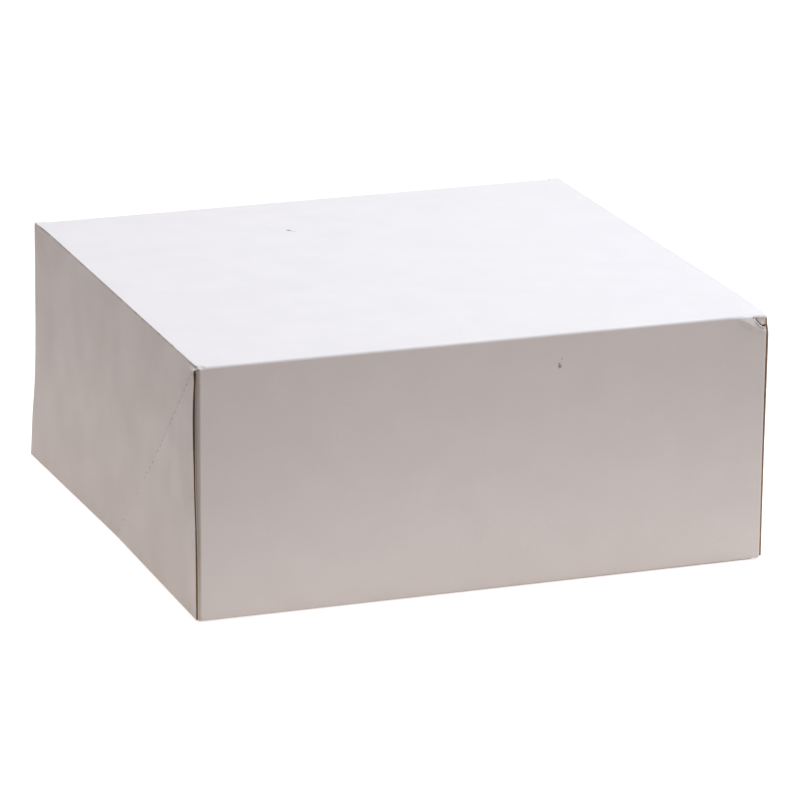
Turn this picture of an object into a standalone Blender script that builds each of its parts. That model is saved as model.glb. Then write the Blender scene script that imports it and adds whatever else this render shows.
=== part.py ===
"""A white paperboard cake box: a tray with glued corners and a full-depth lid, both folded from one sheet.

The closed box stands on Z = 0 with its front towards -Y. The lid swings on the crease along the top of the back wall.
All lengths are in metres.
"""

import math

import bmesh
import bpy
from mathutils import Vector

# Outside sizes of the closed box
LID_WIDTH = 0.2350
LID_DEPTH = 0.2250
BOX_HEIGHT = 0.1025

# The board, the glue on it, and the clearance along every crease and glued face
BOARD = 0.0005
GLUE_FILM = 0.0002
SEAM = 0.0003

# How loosely the lid goes over the tray, and how far its lower edges stay off the table
LID_SIDE_CLEARANCE = 0.0007
LID_FRONT_CLEARANCE = 0.0010
LID_HEM_LIFT = 0.0008

# Rounded folds: the radius inside the bend, and the relief left open where two folds meet
FOLD_INNER_RADIUS = 0.0007
FOLD_RELIEF = 0.0010
FOLD_STEPS = 4

# A side's raw edge stops this far behind the corner fold beside it
RAW_EDGE_SETBACK = 0.0015

# Tapered glue flaps behind the corner gussets, and the film of glue on them
FLAP_REACH = 0.0380
FLAP_MARGIN = 0.0040
FLAP_CORNER_RADIUS = 0.0030
FLAP_CORNER_STEPS = 3
GLUE_INSET = 0.0050

# Perforated reverse creases, which run at 45 degrees out of the glued corners
PERFORATION_PITCH = 0.0048
PERFORATION_CUT = 0.0018
PERFORATION_DEPTH = 0.0003

# Colour and roughness of the two finishes
COATED_WHITE = ((0.82, 0.81, 0.80), 0.45)
DRY_GLUE = ((0.80, 0.72, 0.50), 0.30)

# Sizes that follow
FOLD_RADIUS = FOLD_INNER_RADIUS + BOARD
GLUE_DEPTH = BOARD + SEAM
FLAP_DEPTH = GLUE_DEPTH + GLUE_FILM + SEAM
TRAY_WIDTH = LID_WIDTH - 2 * (FLAP_DEPTH + BOARD + LID_SIDE_CLEARANCE)
TRAY_DEPTH = LID_DEPTH - BOARD - LID_FRONT_CLEARANCE
TRAY_MIDDLE = (LID_DEPTH - TRAY_DEPTH) / 2
WALL_FOOT = FOLD_RADIUS + SEAM
WALL_TOP = BOX_HEIGHT - BOARD - SEAM
LID_BROW = BOX_HEIGHT - FOLD_RADIUS - SEAM
HALF_SEAM = SEAM / 2

QUARTER = math.radians(90)
OUT = Vector((0, 0, 1))

# Every panel is drawn as seen from outside, with X along it and Y up, and is then turned to face its way
FACING = {
    "front": (QUARTER, 0, 0),
    "right": (QUARTER, 0, QUARTER),
    "back": (QUARTER, 0, 2 * QUARTER),
    "left": (QUARTER, 0, -QUARTER),
    "down": (2 * QUARTER, 0, 0),
    "up": (0, 0, 0),
}


def clear_scene():
    for obj in list(bpy.data.objects):
        bpy.data.objects.remove(obj)


def painted(name, colour, roughness):
    material = bpy.data.materials.new(name)
    material.use_nodes = True
    shader = material.node_tree.nodes["Principled BSDF"]
    shader.inputs["Base Color"].default_value = (*colour, 1)
    shader.inputs["Roughness"].default_value = roughness
    shader.inputs["Metallic"].default_value = 0
    return material


def pivot(name, location):
    empty = bpy.data.objects.new(name, None)
    empty.location = location
    bpy.context.collection.objects.link(empty)
    return empty


def rectangle(low_x, high_x, low_y, high_y):
    return [Vector(p) for p in ((low_x, low_y), (high_x, low_y), (high_x, high_y), (low_x, high_y))]


def trimmed(outline, point, inward):
    """The part of a convex outline on the inward side of a line through point."""
    kept = []
    for start, end in zip(outline, outline[1:] + outline[:1]):
        before = (start - point).dot(inward)
        after = (end - point).dot(inward)
        if before >= 0:
            kept.append(start)
        if before * after < 0:
            kept.append(start.lerp(end, before / (before - after)))
    return kept


def drawn_in(outline, distance):
    """A convex, anticlockwise outline made smaller by a distance all round."""
    result = outline
    for start, end in zip(outline, outline[1:] + outline[:1]):
        along = (end - start).normalized()
        inward = along.orthogonal()
        result = trimmed(result, start + inward * distance, inward)
    return result


def mirrored(outline):
    """The same outline for the other side of the box, still anticlockwise."""
    return [Vector((-p.x, p.y)) for p in reversed(outline)]


def perforated(outline, corner, along):
    """Nicks in the edge that lies along a crease, at even steps from the box's corner, where the crease starts."""
    across = along.orthogonal()
    result = []
    for start, end in zip(outline, outline[1:] + outline[:1]):
        result.append(start)
        if max(abs((start - corner).dot(across)), abs((end - corner).dot(across))) > SEAM:
            continue
        first = (start - corner).dot(along)
        last = (end - corner).dot(along)
        low, high = sorted((first, last))
        onward = along if last > first else -along
        nick = onward.orthogonal() * PERFORATION_DEPTH
        half_cut = onward * PERFORATION_CUT / 2
        steps = range(1, 1 + int(high / PERFORATION_PITCH))
        places = [n * PERFORATION_PITCH for n in steps if low + PERFORATION_CUT < n * PERFORATION_PITCH]
        places = [place for place in places if place < high - PERFORATION_CUT]
        for place in sorted(places, reverse=first > last):
            middle = start + along * (place - first)
            result += [middle - half_cut, middle - half_cut + nick, middle + half_cut + nick, middle + half_cut]
    return result


def flat_sheet(outline):
    """A sheet with one flat face, drawn in the XY plane."""
    sheet = bmesh.new()
    sheet.faces.new([sheet.verts.new((p.x, p.y, 0)) for p in outline])
    return sheet


def add_fold(sheet, outward):
    """Turns the sheet's edge on the outward side back through a quarter circle."""
    outward = Vector((*outward, 0))
    panel = max(sheet.faces, key=lambda face: face.calc_area())
    edge = max(panel.edges, key=lambda e: sum(v.co.dot(outward) for v in e.verts))
    middle = (edge.verts[0].co + edge.verts[1].co) / 2
    bmesh.ops.spin(
        sheet,
        geom=[edge, *edge.verts],
        cent=middle - OUT * FOLD_RADIUS,
        axis=OUT.cross(outward),
        angle=QUARTER,
        steps=FOLD_STEPS,
    )


def stand(name, sheet, thickness, finish, parent, location, facing):
    """Gives a sheet its thickness behind its outer face, and stands it in its place."""
    bmesh.ops.recalc_face_normals(sheet, faces=sheet.faces)
    if max(sheet.faces, key=lambda face: face.calc_area()).normal.z < 0:
        bmesh.ops.reverse_faces(sheet, faces=sheet.faces)
    for edge in sheet.edges:
        edge.smooth = not edge.is_boundary
    mesh = bpy.data.meshes.new(name)
    sheet.to_mesh(mesh)
    sheet.free()
    for face in mesh.polygons:
        face.use_smooth = True
    mesh.materials.append(painted(name, *finish))
    obj = bpy.data.objects.new(name, mesh)
    bpy.context.collection.objects.link(obj)
    solid = obj.modifiers.new("Thickness", "SOLIDIFY")
    solid.thickness = thickness
    solid.offset = -1
    solid.use_even_offset = True
    obj.parent = parent
    obj.location = location
    obj.rotation_euler = FACING[facing]
    return obj


def folded_panel(name, half_width, low, high, folds, parent, location, facing):
    """A rectangle of board with rounded folds on some sides, relieved wherever two folds meet."""
    outline = rectangle(-half_width, half_width, low, high)
    for side in (-1, 1):
        for end, height in ((-1, low), (1, high)):
            if (side, 0) in folds and (0, end) in folds:
                inward = Vector((-side, -end))
                relief = Vector((side * half_width, height)) + inward * FOLD_RELIEF / 2
                outline = trimmed(outline, relief, inward)
    sheet = flat_sheet(outline)
    for outward in folds:
        add_fold(sheet, outward)
    return stand(name, sheet, BOARD, COATED_WHITE, parent, location, facing)


def glue_flap(outline):
    """A flap cut to an outline, with its two free corners rounded."""
    sheet = flat_sheet(outline)
    free_end = min(abs(v.co.x) for v in sheet.verts)
    bmesh.ops.bevel(
        sheet,
        geom=[v for v in sheet.verts if abs(v.co.x) < free_end + HALF_SEAM],
        offset=FLAP_CORNER_RADIUS,
        offset_type="OFFSET",
        segments=FLAP_CORNER_STEPS,
        profile=0.5,
        affect="VERTICES",
        material=-1,
    )
    return sheet


def glued_corner(name, gusset, flap, parent, outer_face, facing):
    """A side's corner gusset, the glue flap behind it, and the film of glue that holds the two together."""
    x, y, z = outer_face
    side = math.copysign(1, x)
    behind_glue = (x - side * GLUE_DEPTH, y, z)
    behind_flap = (x - side * FLAP_DEPTH, y, z)
    stand(f"{name}_gusset", flat_sheet(gusset), BOARD, COATED_WHITE, parent, outer_face, facing)
    stand(f"{name}_flap", glue_flap(flap), BOARD, COATED_WHITE, parent, behind_flap, facing)
    film = flat_sheet(drawn_in(flap, GLUE_INSET))
    stand(f"{name}_glue", film, GLUE_FILM, DRY_GLUE, parent, behind_glue, facing)


def split_side(blank, corner, along, to_gusset, flap_room):
    """Cuts a side along the crease out of one corner: returns the side that is left, its gusset and its glue flap."""
    side = trimmed(blank, corner - to_gusset * HALF_SEAM, -to_gusset)
    gusset = trimmed(blank, corner + to_gusset * HALF_SEAM, to_gusset)
    flap = trimmed(flap_room, corner + to_gusset * FLAP_MARGIN, to_gusset)
    return side, perforated(gusset, corner, along), flap


def build_tray(tray):
    """The tray's floor, its four walls and its four glued corners."""
    half_width = TRAY_WIDTH / 2
    half_depth = TRAY_DEPTH / 2
    floor_sides = ((-1, 0), (1, 0), (0, -1), (0, 1))
    folded_panel(
        "base_panel",
        half_width - FOLD_RADIUS,
        FOLD_RADIUS - half_depth,
        half_depth - FOLD_RADIUS,
        floor_sides,
        tray,
        (0, 0, 0),
        "down",
    )
    wall_half_width = half_width - FLAP_DEPTH - FOLD_RADIUS
    for facing, y in (("front", -half_depth), ("back", half_depth)):
        name = f"tray_{facing}_wall"
        folded_panel(name, wall_half_width, WALL_FOOT, WALL_TOP, ((-1, 0), (1, 0)), tray, (0, y, 0), facing)

    raw_edge = half_depth - RAW_EDGE_SETBACK
    root = half_depth - FOLD_RADIUS - SEAM
    corner = Vector((half_depth, 0))
    along = Vector((-1, 1)).normalized()
    to_gusset = Vector((1, 1)).normalized()
    front_half = rectangle(HALF_SEAM, raw_edge, WALL_FOOT, WALL_TOP)
    flap_room = rectangle(half_depth - FLAP_REACH, root, WALL_FOOT, WALL_TOP)
    _, gusset, flap = split_side(front_half, corner, along, to_gusset, flap_room)
    side = rectangle(-raw_edge, raw_edge, WALL_FOOT, WALL_TOP)
    for sign in (1, -1):
        place = Vector((sign * corner.x, corner.y))
        inward = Vector((-sign * to_gusset.x, -to_gusset.y))
        side = trimmed(side, place + inward * HALF_SEAM, inward)
    for sign in (1, -1):
        side = perforated(side, Vector((sign * corner.x, corner.y)), Vector((sign * along.x, along.y)))
    for facing, x in (("left", -half_width), ("right", half_width)):
        face = (x, 0, 0)
        stand(f"tray_{facing}_wall", flat_sheet(side), BOARD, COATED_WHITE, tray, face, facing)
        ends = ("front", "back") if facing == "left" else ("back", "front")
        glued_corner(f"tray_{ends[0]}_{facing}", gusset, flap, tray, face, facing)
        glued_corner(f"tray_{ends[1]}_{facing}", mirrored(gusset), mirrored(flap), tray, face, facing)


def build_lid(lid):
    """The lid's top, its front, its two sides and its two glued front corners, placed from the hinge crease."""
    half_width = LID_WIDTH / 2
    half_depth = LID_DEPTH / 2
    folded_panel(
        "lid_top_panel",
        half_width - FOLD_RADIUS,
        FOLD_RADIUS - half_depth,
        half_depth,
        ((-1, 0), (1, 0), (0, -1)),
        lid,
        (0, -half_depth, 0),
        "up",
    )
    folded_panel(
        "lid_front_panel",
        half_width - FLAP_DEPTH - FOLD_RADIUS,
        LID_HEM_LIFT,
        LID_BROW,
        ((-1, 0), (1, 0)),
        lid,
        (0, -LID_DEPTH, -BOX_HEIGHT),
        "front",
    )

    raw_edge = half_depth - RAW_EDGE_SETBACK
    root = half_depth - FOLD_RADIUS - SEAM
    corner = Vector((half_depth, BOX_HEIGHT))
    along = Vector((-1, -1)).normalized()
    to_gusset = Vector((1, -1)).normalized()
    blank = rectangle(-half_depth, raw_edge, LID_HEM_LIFT, LID_BROW)
    flap_room = rectangle(half_depth - FLAP_REACH, root, LID_HEM_LIFT, LID_BROW)
    side, gusset, flap = split_side(blank, corner, along, to_gusset, flap_room)
    side = perforated(side, corner, along)
    for facing, x in (("left", -half_width), ("right", half_width)):
        face = (x, -half_depth, -BOX_HEIGHT)
        shapes = [side, gusset, flap]
        if facing == "right":
            shapes = [mirrored(shape) for shape in shapes]
        stand(f"lid_{facing}_panel", flat_sheet(shapes[0]), BOARD, COATED_WHITE, lid, face, facing)
        glued_corner(f"lid_{facing}", shapes[1], shapes[2], lid, face, facing)


clear_scene()
build_tray(pivot("tray", (0, TRAY_MIDDLE, 0)))
build_lid(pivot("lid_hinge_crease", (0, LID_DEPTH / 2, BOX_HEIGHT)))
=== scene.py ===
# %% [markdown]
# # A white cake box, folded from one sheet of board
#
# The real box is one die-cut sheet of white paperboard. It is scored, folded and glued at its corners into a
# tray that holds the cake and a lid that swings on one crease along the back. Every form on it is a flat
# panel, a rounded fold or a cut edge. So this lesson draws each panel as a flat sheet in its own plane,
# folds its borders over, bends it a little out of true as a used box is, and only then gives it the board's
# thickness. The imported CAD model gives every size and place.

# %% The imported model, which gives the sizes and the moving bodies
import math
import random

import bmesh
import bpy
from mathutils import Matrix, Vector, noise


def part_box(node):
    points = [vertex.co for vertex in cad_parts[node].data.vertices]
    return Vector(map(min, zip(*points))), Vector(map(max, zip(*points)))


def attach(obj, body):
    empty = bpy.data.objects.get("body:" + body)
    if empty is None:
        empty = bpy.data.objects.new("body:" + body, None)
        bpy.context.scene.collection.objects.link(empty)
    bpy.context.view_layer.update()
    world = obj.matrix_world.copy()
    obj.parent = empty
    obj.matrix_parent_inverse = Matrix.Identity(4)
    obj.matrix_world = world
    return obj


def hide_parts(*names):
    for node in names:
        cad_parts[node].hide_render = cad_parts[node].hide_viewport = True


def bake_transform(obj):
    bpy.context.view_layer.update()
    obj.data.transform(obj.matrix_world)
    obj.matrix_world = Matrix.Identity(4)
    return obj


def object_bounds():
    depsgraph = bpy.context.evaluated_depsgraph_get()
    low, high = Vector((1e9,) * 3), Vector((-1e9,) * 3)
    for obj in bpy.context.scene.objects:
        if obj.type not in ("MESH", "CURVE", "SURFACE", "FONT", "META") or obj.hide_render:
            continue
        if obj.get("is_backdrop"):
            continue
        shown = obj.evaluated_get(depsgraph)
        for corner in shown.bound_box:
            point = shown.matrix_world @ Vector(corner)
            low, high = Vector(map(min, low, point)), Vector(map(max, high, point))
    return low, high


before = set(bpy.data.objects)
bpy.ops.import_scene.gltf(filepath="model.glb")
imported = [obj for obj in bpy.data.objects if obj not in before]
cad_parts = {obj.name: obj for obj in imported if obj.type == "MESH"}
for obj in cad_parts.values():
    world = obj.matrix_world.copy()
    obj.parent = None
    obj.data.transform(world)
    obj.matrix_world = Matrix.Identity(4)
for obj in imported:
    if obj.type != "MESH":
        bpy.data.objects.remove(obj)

cad_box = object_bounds()
scene = bpy.context.scene

# %% [markdown]
# ## The camera
#
# A camera can be set by eye, or worked out. Here the box's own straight edges gave it: a box of known
# proportions has seven corners in the picture, and one camera fits them all. It stands to the left of the
# front, a little above the lid, and so far back that the edges hardly converge. It comes first, so that
# everything after it can be compared with the real box in the same view.

# %% The camera, on a sphere around the box and then shifted in its own picture plane
MM = 0.001
CAMERA_AZIMUTH = math.radians(-19.839)
CAMERA_ELEVATION = math.radians(17.118)
CAMERA_ROLL = math.radians(0.439)
CAMERA_DISTANCE = 1910.3 * MM
CAMERA_SIDESTEP = 4.53 * MM
CAMERA_RISE = 43.39 * MM
SENSOR_WIDTH = 36.0
LENS = 208.17

towards_camera = Vector((
    math.sin(CAMERA_AZIMUTH) * math.cos(CAMERA_ELEVATION),
    -math.cos(CAMERA_AZIMUTH) * math.cos(CAMERA_ELEVATION),
    math.sin(CAMERA_ELEVATION),
))
level_right = Vector((math.cos(CAMERA_AZIMUTH), math.sin(CAMERA_AZIMUTH), 0))
camera_axes = Matrix((level_right, towards_camera.cross(level_right), towards_camera)).transposed()
camera_axes = camera_axes @ Matrix.Rotation(CAMERA_ROLL, 3, "Z")
camera_place = camera_axes @ Vector((CAMERA_SIDESTEP, CAMERA_RISE, CAMERA_DISTANCE))

camera_data = bpy.data.cameras.new("photograph_camera")
camera_data.sensor_width = SENSOR_WIDTH
camera_data.lens = LENS
camera = bpy.data.objects.new("photograph_camera", camera_data)
camera.matrix_world = Matrix.Translation(camera_place) @ camera_axes.to_4x4()
scene.collection.objects.link(camera)
scene.camera = camera
scene.view_settings.view_transform = "Standard"
print("camera at", [round(value, 3) for value in camera_place])

# %% [markdown]
# ## Light, floor and background
#
# The real box was lit by a broad soft light above it and to the right, on a pale table that throws light
# back up: the top is nearly white, the front is about half as bright and gets warmer and brighter towards
# the table, and the left side is darkest by its lower edge. One large lamp, a dim warm surrounding and a
# pale floor give that. The background is pure white only to the camera: Light Path mixes white in for rays
# from the camera or from gloss, so the white never lights the box.

# %% Colour and node helpers, which every material uses
def linear(hex_colour):
    """An sRGB hex colour as the linear values that shaders want."""
    channels = [int(hex_colour[place:place + 2], 16) / 255 for place in (1, 3, 5)]
    return (*[c / 12.92 if c <= 0.04045 else ((c + 0.055) / 1.055) ** 2.4 for c in channels], 1)


def add_node(tree, kind, inputs=None, **settings):
    """Adds a node, sets its properties, and fills its inputs with values or with other nodes' outputs."""
    new = tree.nodes.new(kind)
    for name, value in settings.items():
        setattr(new, name, value)
    for socket, value in (inputs or {}).items():
        if isinstance(value, bpy.types.NodeSocket):
            tree.links.new(value, new.inputs[socket])
        else:
            new.inputs[socket].default_value = value
    return new


# %% The surrounding: a dim warm fill for the box, white for the camera
FILL_STRENGTH = 0.526
FILL_COLOUR = linear("#FFF3EF")
WHITE = linear("#FFFFFF")


def seen_directly(tree):
    """1 for rays from the camera, from gloss and through glass, else 0."""
    rays = add_node(tree, "ShaderNodeLightPath").outputs
    seen = rays["Is Camera Ray"]
    for kind in ("Is Glossy Ray", "Is Transmission Ray"):
        seen = add_node(tree, "ShaderNodeMath", {0: seen, 1: rays[kind]}, operation="MAXIMUM").outputs[0]
    return seen


world = bpy.data.worlds.new("studio")
world.use_nodes = True
tree = world.node_tree
tree.nodes.clear()
fill = add_node(tree, "ShaderNodeBackground", {"Color": FILL_COLOUR, "Strength": FILL_STRENGTH})
white = add_node(tree, "ShaderNodeBackground", {"Color": WHITE, "Strength": 1})
sky = add_node(tree, "ShaderNodeMixShader", {0: seen_directly(tree), 1: fill.outputs[0], 2: white.outputs[0]})
add_node(tree, "ShaderNodeOutputWorld", {"Surface": sky.outputs[0]})
scene.world = world

# %% [markdown]
# ### The floor
#
# To the box the floor is a pale card on a darker table, which colours the light from below. To the camera it
# glows until it is white, a little less near the box, so that the box's shadow stays. It doesn't glow under
# the box, or that would shine out of the gap between the lid and the tray.

# %% The floor, made white for the camera, with the box's shadow kept
FLOOR_SIZE = 8.0
FLOOR_DROP = 0.05 * MM
CARD_COLOUR = linear("#EBE0D4")
TABLE_COLOUR = linear("#6E6054")
CARD_CENTRE = (0.03, -0.01, 0)
CARD_REACH = (0.16, 0.38)
SHADE_LIFT = 0.75
UNDER_BOX_X = (0.1135, 0.1160)
UNDER_BOX_Y = (0.1080, 0.1100)
UNDER_BOX_MIDDLE = (0, 0.0016, 0)
UNDER_BOX_SPLAY = -0.018


def share_of(tree, *limits):
    """How far some limits let through: each has a value, its two ends, and the share at either end."""
    share = 1.0
    for value, low, high, at_low, at_high in limits:
        ends = {"Value": value, "From Min": low, "From Max": high, "To Min": at_low, "To Max": at_high}
        ramp = add_node(tree, "ShaderNodeMapRange", ends).outputs["Result"]
        share = add_node(tree, "ShaderNodeMath", {0: share, 1: ramp}, operation="MULTIPLY").outputs[0]
    return share


floor_material = bpy.data.materials.new("matt pale card")
floor_material.use_nodes = True
tree = floor_material.node_tree
tree.nodes.clear()
spot = add_node(tree, "ShaderNodeTexCoord").outputs["Object"]
points = {0: spot, 1: CARD_CENTRE}
away = add_node(tree, "ShaderNodeVectorMath", points, operation="DISTANCE").outputs["Value"]
ends = {"Value": away, "From Min": CARD_REACH[0], "From Max": CARD_REACH[1]}
beyond = add_node(tree, "ShaderNodeMapRange", ends, interpolation_type="SMOOTHSTEP").outputs["Result"]
colours = {"Factor": beyond, 6: CARD_COLOUR, 7: TABLE_COLOUR}
ground = add_node(tree, "ShaderNodeMix", colours, data_type="RGBA").outputs[2]
card = add_node(tree, "ShaderNodeBsdfDiffuse", {"Color": ground})
points = {0: spot, 1: UNDER_BOX_MIDDLE}
middle = add_node(tree, "ShaderNodeVectorMath", points, operation="SUBTRACT").outputs[0]
x, y, _ = add_node(tree, "ShaderNodeSeparateXYZ", {0: middle}).outputs
aside, along = (
    add_node(tree, "ShaderNodeMath", {0: axis}, operation="ABSOLUTE").outputs[0] for axis in (x, y)
)
back = add_node(tree, "ShaderNodeMath", {0: y, 1: 0}, operation="MAXIMUM").outputs[0]
splayed = {0: back, 1: UNDER_BOX_SPLAY, 2: aside}
aside = add_node(tree, "ShaderNodeMath", splayed, operation="MULTIPLY_ADD").outputs[0]
past_box = {0: share_of(tree, (aside, *UNDER_BOX_X, 0, 1)), 1: share_of(tree, (along, *UNDER_BOX_Y, 0, 1))}
uncovered = add_node(tree, "ShaderNodeMath", past_box, operation="MAXIMUM").outputs[0]
limits = (seen_directly(tree), 0, 1, 0, 1), (beyond, 0, 1, SHADE_LIFT, 1), (uncovered, 0, 1, 0, 1)
glow = add_node(tree, "ShaderNodeEmission", {"Color": WHITE, "Strength": share_of(tree, *limits)})
both = add_node(tree, "ShaderNodeAddShader", {0: card.outputs[0], 1: glow.outputs[0]})
add_node(tree, "ShaderNodeOutputMaterial", {"Surface": both.outputs[0]})

floor_sheet = bmesh.new()
bmesh.ops.create_grid(floor_sheet, x_segments=1, y_segments=1, size=FLOOR_SIZE / 2)
bmesh.ops.translate(floor_sheet, vec=(0, 0, -FLOOR_DROP), verts=floor_sheet.verts)
floor_mesh = bpy.data.meshes.new("studio_floor")
floor_sheet.to_mesh(floor_mesh)
floor_sheet.free()
floor_mesh.materials.append(floor_material)
floor = bpy.data.objects.new("studio_floor", floor_mesh)
scene.collection.objects.link(floor)
floor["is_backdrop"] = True

# %% The lamp: one large soft panel overhead, to the right
LAMP_PLACE = (0.43, -0.08, 1.15)
LAMP_SIZE = 0.80
LAMP_POWER = 9.9
LAMP_COLOUR = linear("#E6F2FE")

lamp_data = bpy.data.lights.new("overhead_softbox", "AREA")
lamp_data.shape = "SQUARE"
lamp_data.size = LAMP_SIZE
lamp_data.energy = LAMP_POWER
lamp_data.color = LAMP_COLOUR[:3]
lamp = bpy.data.objects.new("overhead_softbox", lamp_data)
lamp.location = LAMP_PLACE
lamp.rotation_euler = Vector(LAMP_PLACE).to_track_quat("Z", "Y").to_euler()
scene.collection.objects.link(lamp)
print(lamp.name, LAMP_POWER, "W at", LAMP_PLACE)

# %% [markdown]
# ## The board's materials
#
# The sheet is clay-coated recycled board, the usual stock for cake boxes: a smooth white coat of china clay
# outside, a brown kraft back, and a grey-brown core wherever it is cut. So one piece of board needs three
# materials, and Solidify can hand them out: the outer face takes the first, the inner face the second and
# the cut rim the third. Patterns read Object coordinates, because every sheet keeps its place in its mesh,
# and their scales come from real sizes: fibres are 1 to 3 mm long, the coat's cloudiness is 5 to 20 mm
# across.

# %% A new finish, the grain of paper, and how colours and reliefs are laid over each other
def new_finish(name):
    """A new material with an empty tree, and the coordinates that its patterns read."""
    material = bpy.data.materials.new(name)
    material.use_nodes = True
    material.node_tree.nodes.clear()
    return material, material.node_tree, add_node(material.node_tree, "ShaderNodeTexCoord").outputs["Object"]


def grain(tree, place, size, detail=2.0, stretch=(1, 1, 1)):
    """Soft noise whose blotches are about size across, drawn out along an axis by stretch."""
    scale = tuple(1 / (size * factor) for factor in stretch)
    spread = add_node(tree, "ShaderNodeMapping", {"Vector": place, "Scale": scale}).outputs[0]
    inputs = {"Vector": spread, "Scale": 1, "Detail": detail}
    return add_node(tree, "ShaderNodeTexNoise", inputs).outputs["Fac"]


def surface(tree, colour, coats, reliefs, roughness, ior):
    """Lays coats over a first colour, each by its share, and patterns over each other, each by its depth."""
    for share, over in coats:
        layers = {"Factor": share, 6: colour, 7: over}
        colour = add_node(tree, "ShaderNodeMix", layers, data_type="RGBA").outputs[2]
    inputs = {"Base Color": colour, "Roughness": roughness, "IOR": ior}
    below = {}
    for height, depth in reliefs:
        bump = add_node(tree, "ShaderNodeBump", {"Height": height, "Distance": depth, "Strength": 1, **below})
        below = {"Normal": bump.outputs[0]}
    shader = add_node(tree, "ShaderNodeBsdfPrincipled", {**inputs, **below})
    add_node(tree, "ShaderNodeOutputMaterial", {"Surface": shader.outputs[0]})


# %% [markdown]
# ### The white outside: a clay coat on recycled board
#
# The coat is bladed on wet and pressed smooth, which leaves it satin, a little cloudy, and with a hint of
# the fibres below. Handling adds faint grey rubs and a speck or two. A speck is flat, so it is a dark place
# in the colour: the distance to one point of the box, in millimetres. The same dark places also paint the
# shadow under the crushed lump at the left corner, and there is one dark spot at each of the back and right
# corners. Along the front's left fold the coat has cracked and rubbed, and the grey-brown fibres show
# through; that strip is also painted darker as shade where the side's raw edge stands in front of it, and
# painted dark brown as shade right next to that edge. The scored line just below the top's left fold has a
# thin painted shade line in it, broken up by noise.

# %% The clay coat's colours and sizes, and how much of each pattern shows between which values
COAT_WHITE = linear("#F0EEEF")
COAT_CLOUD = linear("#EEECED")
COAT_RUB = linear("#E2DEDC")
SPECK_AND_SHADE_DARK = linear("#6B625C")
COAT_IOR = 1.50
COAT_ROUGHNESS = (0.3, 0.7, 0.50, 0.62)
CLOUD_SIZE = 16 * MM
CLOUD_SHOWS = (0.35, 0.65, 0, 1)
RUB_SIZE = 34 * MM
RUB_DETAIL = 5.0
RUB_SHOWS = (0.55, 0.75, 0, 0.10)
FIBRE_SIZE = 0.8 * MM
FIBRE_DETAIL = 4.0
FIBRE_SHOWS = (0.30, 0.70, 0, 0.20)
FIBRE_DEPTH = 0.010 * MM
TOOTH_SIZE = 0.25 * MM
TOOTH_DEPTH = 0.004 * MM

# %% Where the coat is specked and scuffed, and where shade is painted on it
SPECKS_AND_SHADE_SPOTS = {
    "speck on the front": (
        ((29.50, -112.7, 89.15), 0.66), ((29.30, -112.7, 90.2), 0.40), ((30.4, -112.5, 92.2), 0.34),
    ),
    "nick in the top": (
        ((-21.8, 67.0, 102.25), 0.62), ((-21.6, 66.0, 102.25), 0.66), ((-21.05, 65.2, 102.3), 0.40),
        ((-20.5, 64.4, 102.4), 0.30), ((-19.8, 63.9, 102.4), 0.30),
    ),
    # Painted shadow under the crushed lump at the left corner, and in the gap beside it.
    "painted shadow under the left corner lump": (
        ((-117.8, -110.2, 100.8), 0.40), ((-117.1, -111.3, 101.0), 0.65), ((-116.4, -111.6, 101.0), 0.50),
    ),
    "dark spot at the back corner": (
        ((-118.2, 112.0, 101.6), 0.55),
    ),
    "dark spot at the right corner": (
        ((115.8, -112.3, 101.9), 0.35),
    ),
}
SPECK_AND_SHADE_EDGE = (0.4, 1.6)
SPECK_AND_SHADE_SHARE = 0.8
# Along the front's left fold: grey of cracked, rubbed coat, deepened as painted shade where the side's raw
# edge stands in front of it.
SCUFF_AND_SHADE_GREY = linear("#8C7D69")
SCUFF_AND_SHADE_SHARE = 0.55
SCUFF_AND_SHADE_X = (-0.1166, -0.1158)
SCUFF_AND_SHADE_Y = (-0.1110, -0.1113)
SCUFF_AND_SHADE_FOOT = (-0.060, 0.030)
SCUFF_AND_SHADE_HEAD = (0.1008, 0.1000)
# Painted shade in dark brown: on the fold right next to the side's raw edge, and on the cut edges at the
# lid's left end.
CORE_SHADE_BROWN = linear("#4A3626")
FOLD_SHADE_SHARE = 0.50
FOLD_SHADE_Y = (-0.1119, -0.1113)
FOLD_SHADE_FOOT = (0.010, 0.060)
# Painted shade: a thin dark line in the scored groove just below the top's left fold, broken up by noise.
SCORE_SHADE_TILT = (0, 0.002, 1)
SCORE_SHADE_LINE = ((0.1010, 0.1015), (0.1017, 0.1021))
SCORE_SHADE_X = (-0.1168, -0.1162)
SCORE_SHADE_BREAK_SIZE = 6 * MM
SCORE_SHADE_BREAK_SHOWS = (0.35, 0.65, 0.05, 0.50)

# %% Clay-coated outside
coat, tree, place = new_finish("clay-coated white board face")
cloud = grain(tree, place, CLOUD_SIZE)
fibres = grain(tree, place, FIBRE_SIZE, FIBRE_DETAIL)
tooth = grain(tree, place, TOOTH_SIZE)
coats = [
    (share_of(tree, (cloud, *CLOUD_SHOWS)), COAT_CLOUD),
    (share_of(tree, (grain(tree, place, RUB_SIZE, RUB_DETAIL), *RUB_SHOWS)), COAT_RUB),
    (share_of(tree, (fibres, *FIBRE_SHOWS)), COAT_RUB),
]
# Dark spots: real specks and a nick, and painted shadow under the crushed lump at the left corner.
for centre, size in (spot for spots in SPECKS_AND_SHADE_SPOTS.values() for spot in spots):
    points = {0: place, 1: tuple(value * MM for value in centre)}
    away = add_node(tree, "ShaderNodeVectorMath", points, operation="DISTANCE").outputs["Value"]
    inner, outer = (size * edge * MM for edge in SPECK_AND_SHADE_EDGE)
    coats.append((share_of(tree, (away, inner, outer, SPECK_AND_SHADE_SHARE, 0)), SPECK_AND_SHADE_DARK))
x, y, z = add_node(tree, "ShaderNodeSeparateXYZ", {0: place}).outputs
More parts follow.
